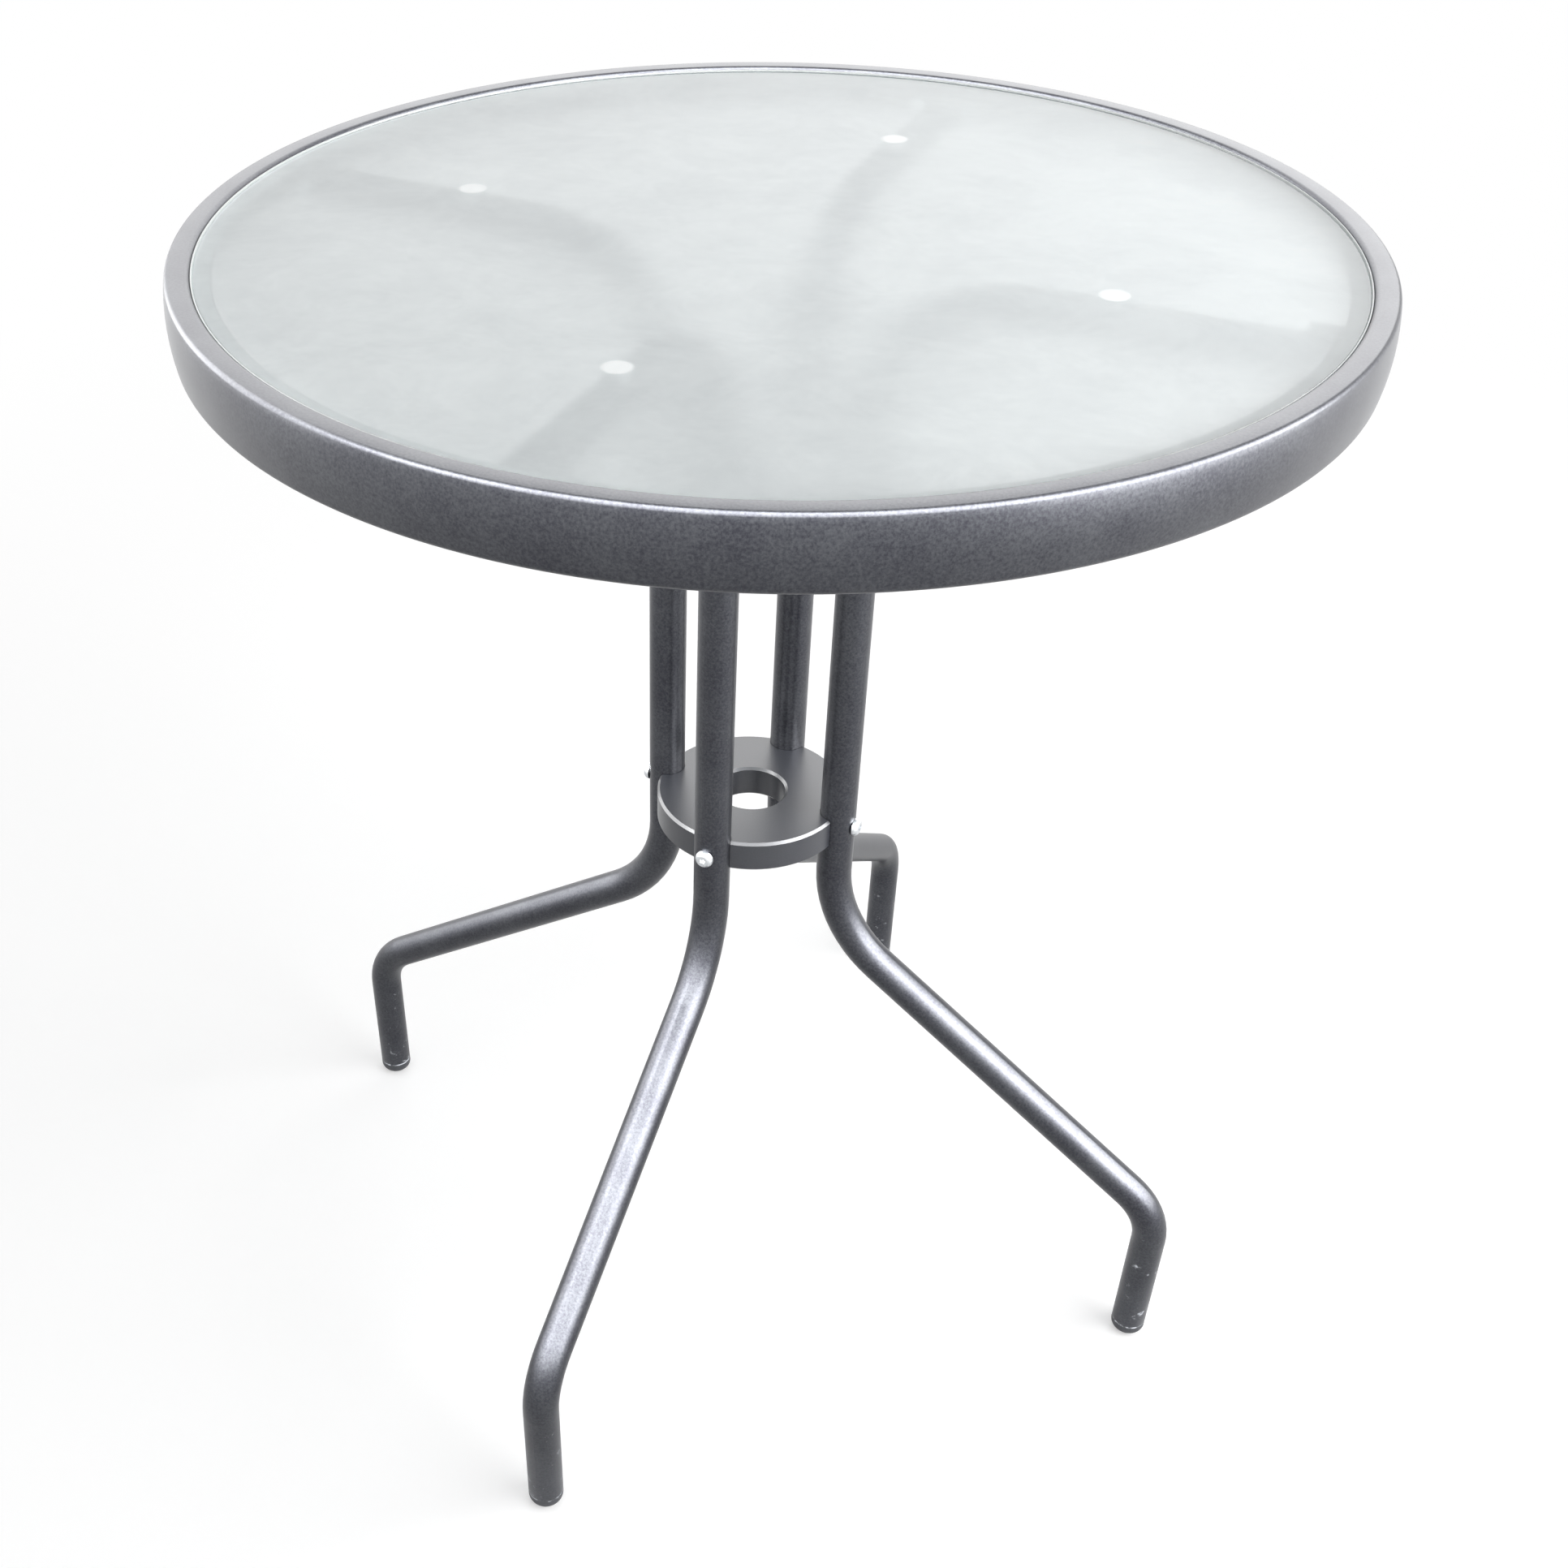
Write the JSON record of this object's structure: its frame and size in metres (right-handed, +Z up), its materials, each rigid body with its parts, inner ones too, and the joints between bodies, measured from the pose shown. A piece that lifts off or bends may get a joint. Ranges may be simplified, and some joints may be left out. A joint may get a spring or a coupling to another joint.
{
  "type": "round glass bistro table",
  "caption": "Round outdoor table: rippled glass top in a steel rim on bent tube legs that meet at a plastic spacer ring; the glass lifts out.",
  "frame": {"origin": "on the floor under the middle of the top", "axes": "+Z up; the legs stand on the axes, front on -Y, right on +X, back on +Y, left on -X"},
  "size_m": [0.61, 0.61, 0.7],
  "materials": {
    "coated_steel": "metallic graphite powder coat, satin",
    "rippled_glass": "toughened clear glass, rippled underneath",
    "seal_strip": "soft grey strip",
    "ring_plastic": "moulded dark grey plastic, fine grain",
    "cap_plastic": "moulded dark grey plastic",
    "bumper_rubber": "translucent white soft plastic",
    "zinc_plated": "bright zinc plate",
    "brass": "turned"
  },
  "bodies": {
    "frame": {"top_rim": "coated_steel", "glass_seal": "seal_strip", "spacer_ring": "ring_plastic", "front_leg": "coated_steel", "front_foot_cap": "cap_plastic", "front_glass_bumper": "bumper_rubber", "front_rim_tab": "coated_steel", "right_leg": "coated_steel", "right_foot_cap": "cap_plastic", "right_glass_bumper": "bumper_rubber", "right_rim_tab": "coated_steel", "back_leg": "coated_steel", "back_foot_cap": "cap_plastic", "back_glass_bumper": "bumper_rubber", "back_rim_tab": "coated_steel", "left_leg": "coated_steel", "left_foot_cap": "cap_plastic", "left_glass_bumper": "bumper_rubber", "left_rim_tab": "coated_steel", "ring_screws": "zinc_plated", "ring_inserts": "brass", "rim_bolts": "zinc_plated", "rim_washers": "zinc_plated", "rim_nuts": "zinc_plated"},
    "glass": {"glass_top": "rippled_glass"}
  },
  "joints": [
    {"name": "glass_lift", "type": "slide", "parent": "frame", "child": "glass", "axis": [0, 0, 1], "range_m": [0, 0.06]}
  ]
}
